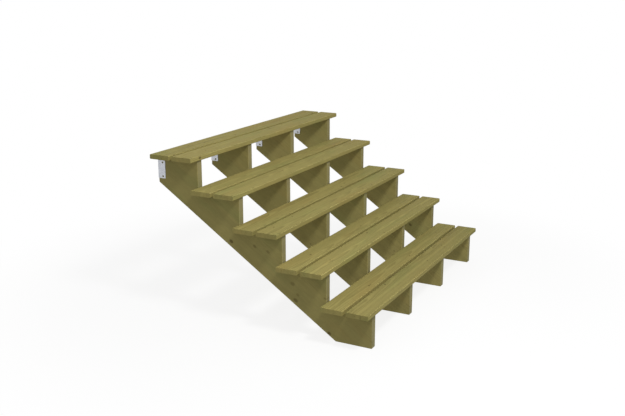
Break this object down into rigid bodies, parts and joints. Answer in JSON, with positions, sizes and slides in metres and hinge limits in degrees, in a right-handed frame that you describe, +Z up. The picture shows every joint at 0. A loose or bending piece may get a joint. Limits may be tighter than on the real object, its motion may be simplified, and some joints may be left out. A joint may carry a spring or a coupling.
{
  "type": "deck stairs",
  "caption": "Open-riser timber deck stairs: paired planed tread boards on sawtooth stringers, with folded steel angles at the top to hang the flight from a deck edge",
  "frame": {"origin": "centre of the deck-side face of the first bracket, at the left seen from the foot of the flight", "axes": "X along the treads to the right, Y up the flight towards the deck, Z up"},
  "size_m": [1.875, 1.4155, 0.971],
  "materials": {
    "tread_timber": "planed, pressure treated",
    "stringer_timber": "planed, pressure treated",
    "galvanised_steel": "hot-dip galvanised"
  },
  "bodies": {
    "root": {"tread_1_front_board": "tread_timber", "tread_1_back_board": "tread_timber", "tread_2_front_board": "tread_timber", "tread_2_back_board": "tread_timber", "tread_3_front_board": "tread_timber", "tread_3_back_board": "tread_timber", "tread_4_front_board": "tread_timber", "tread_4_back_board": "tread_timber", "tread_5_front_board": "tread_timber", "tread_5_back_board": "tread_timber", "stringer_1": "stringer_timber", "stringer_2": "stringer_timber", "stringer_3": "stringer_timber", "stringer_4": "stringer_timber", "bracket_1": "galvanised_steel", "bracket_2": "galvanised_steel", "bracket_3": "galvanised_steel", "bracket_4": "galvanised_steel"}
  },
  "joints": []
}
